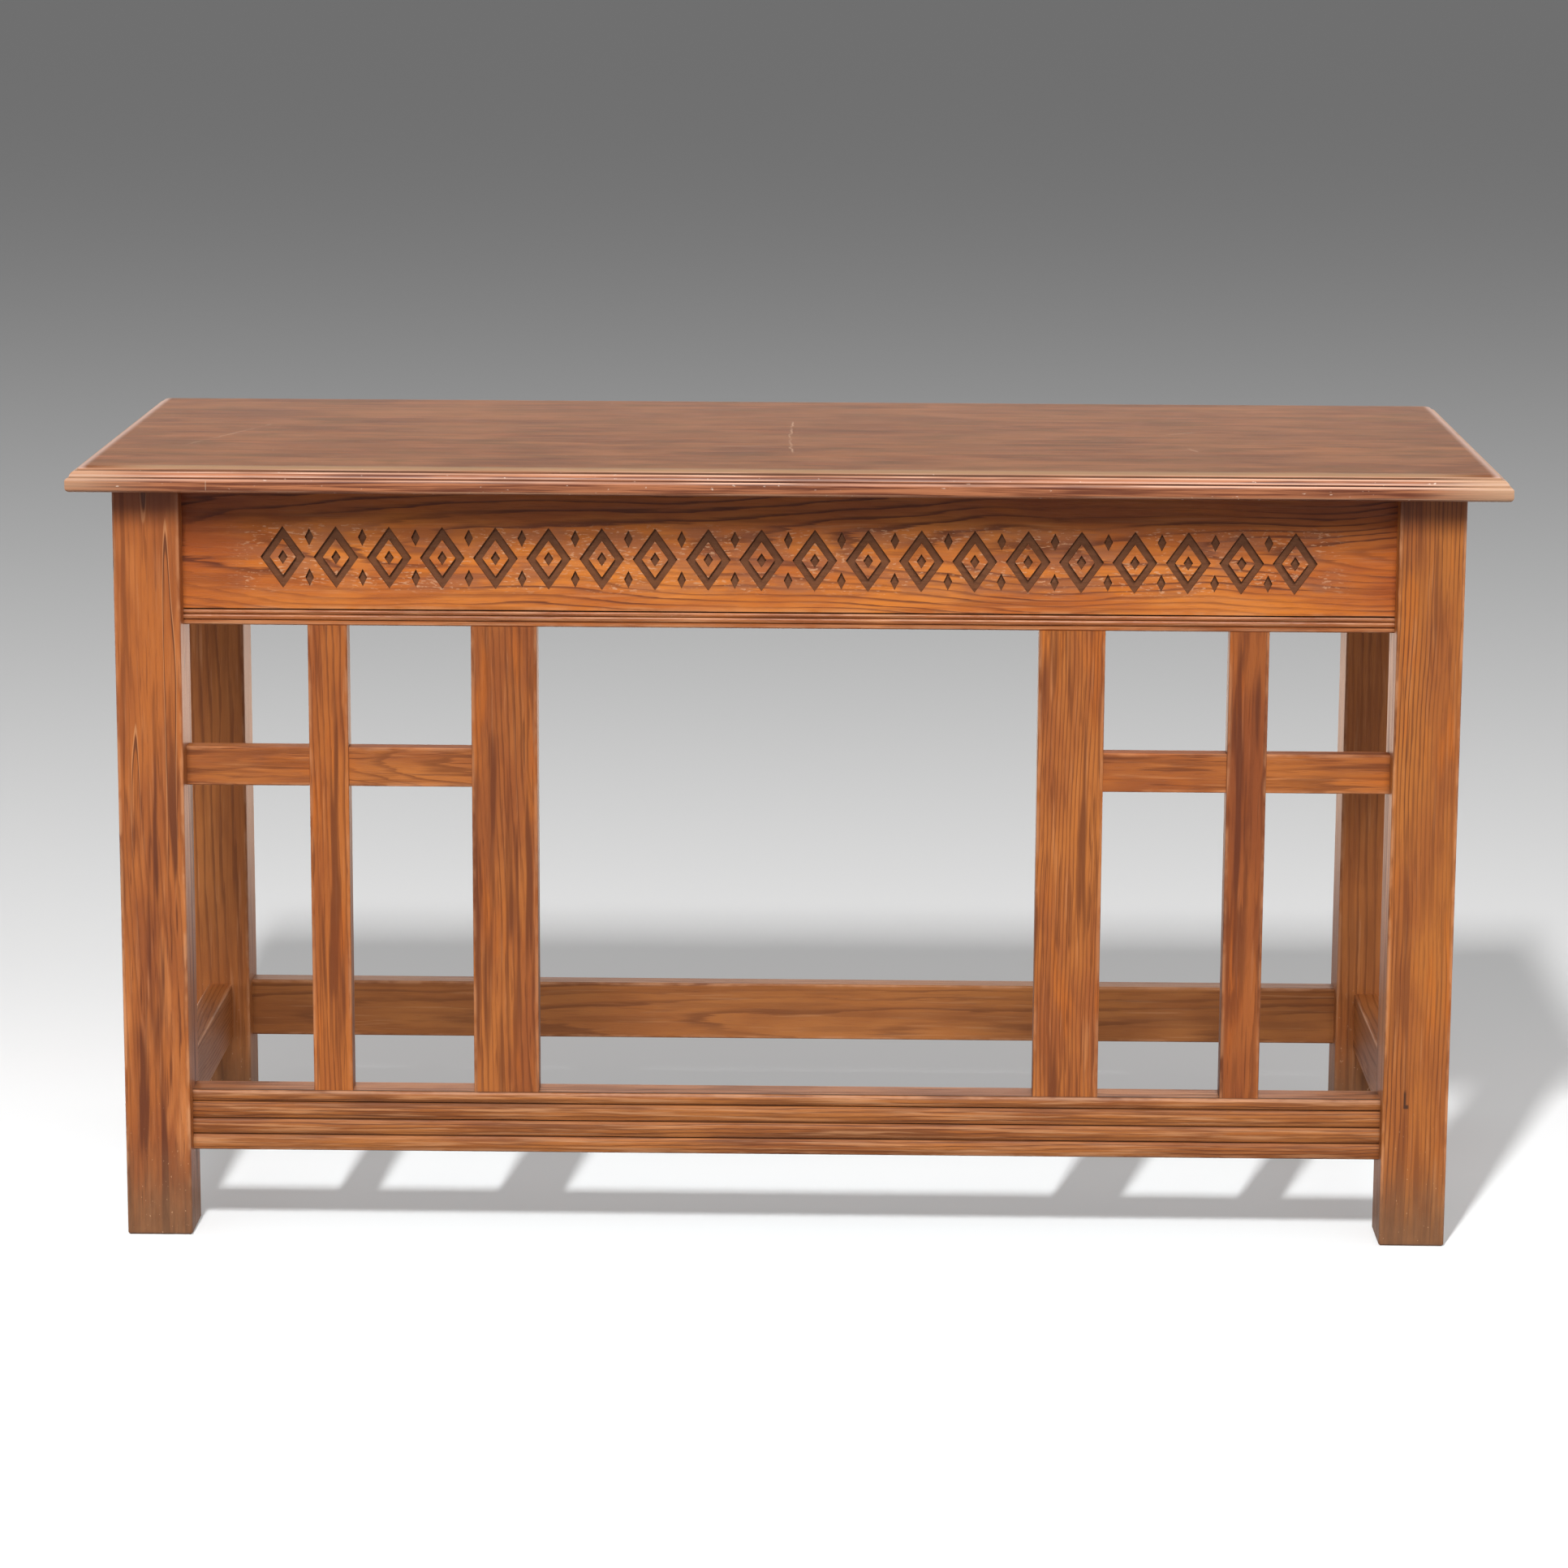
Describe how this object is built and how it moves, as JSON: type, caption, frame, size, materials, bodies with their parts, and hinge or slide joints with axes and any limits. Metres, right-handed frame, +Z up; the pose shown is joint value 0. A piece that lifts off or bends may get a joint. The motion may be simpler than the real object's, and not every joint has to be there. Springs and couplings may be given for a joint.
{
  "type": "communion table",
  "caption": "Oak communion table with a moulded top, a carved frieze of lozenges under it, square legs, low rails and a pair of cross-shaped grilles in the front.",
  "frame": {"origin": "on the floor, under the middle of the table (bounding box bottom centre)", "axes": "+Z up, +X along the table's length to the right as seen from the front, -Y towards the carved front"},
  "size_m": [1.3652, 0.5968, 0.762],
  "materials": {
    "oak": "satin, golden-brown stained oak",
    "oak_top": "satin, worn reddish-brown stained oak",
    "inner_wood": "bare, unfinished",
    "dowel_wood": "bare birch",
    "screw_steel": "plain steel"
  },
  "bodies": {
    "root": {"apron_back": "oak", "apron_dowels": "dowel_wood", "apron_front": "oak", "apron_left": "oak", "apron_moulding": "oak", "apron_right": "oak", "bearer_dowels": "dowel_wood", "bearer_left": "inner_wood", "bearer_right": "inner_wood", "corner_block_back_left": "inner_wood", "corner_block_back_right": "inner_wood", "corner_block_front_left": "inner_wood", "corner_block_front_right": "inner_wood", "cross_bar_dowels": "dowel_wood", "cross_bar_left": "oak", "cross_bar_right": "oak", "leg_back_left": "oak", "leg_back_right": "oak", "leg_front_left": "oak", "leg_front_right": "oak", "rail_back": "oak", "rail_dowels": "dowel_wood", "rail_front": "oak", "rail_left": "oak", "rail_right": "oak", "top_board_1": "oak_top", "top_board_2": "oak_top", "top_board_3": "oak_top", "top_board_4": "oak_top", "top_screws": "screw_steel", "upright_foot_dowels": "dowel_wood", "upright_head_dowels": "dowel_wood", "upright_narrow_left": "oak", "upright_narrow_right": "oak", "upright_wide_left": "oak", "upright_wide_right": "oak"}
  },
  "joints": []
}
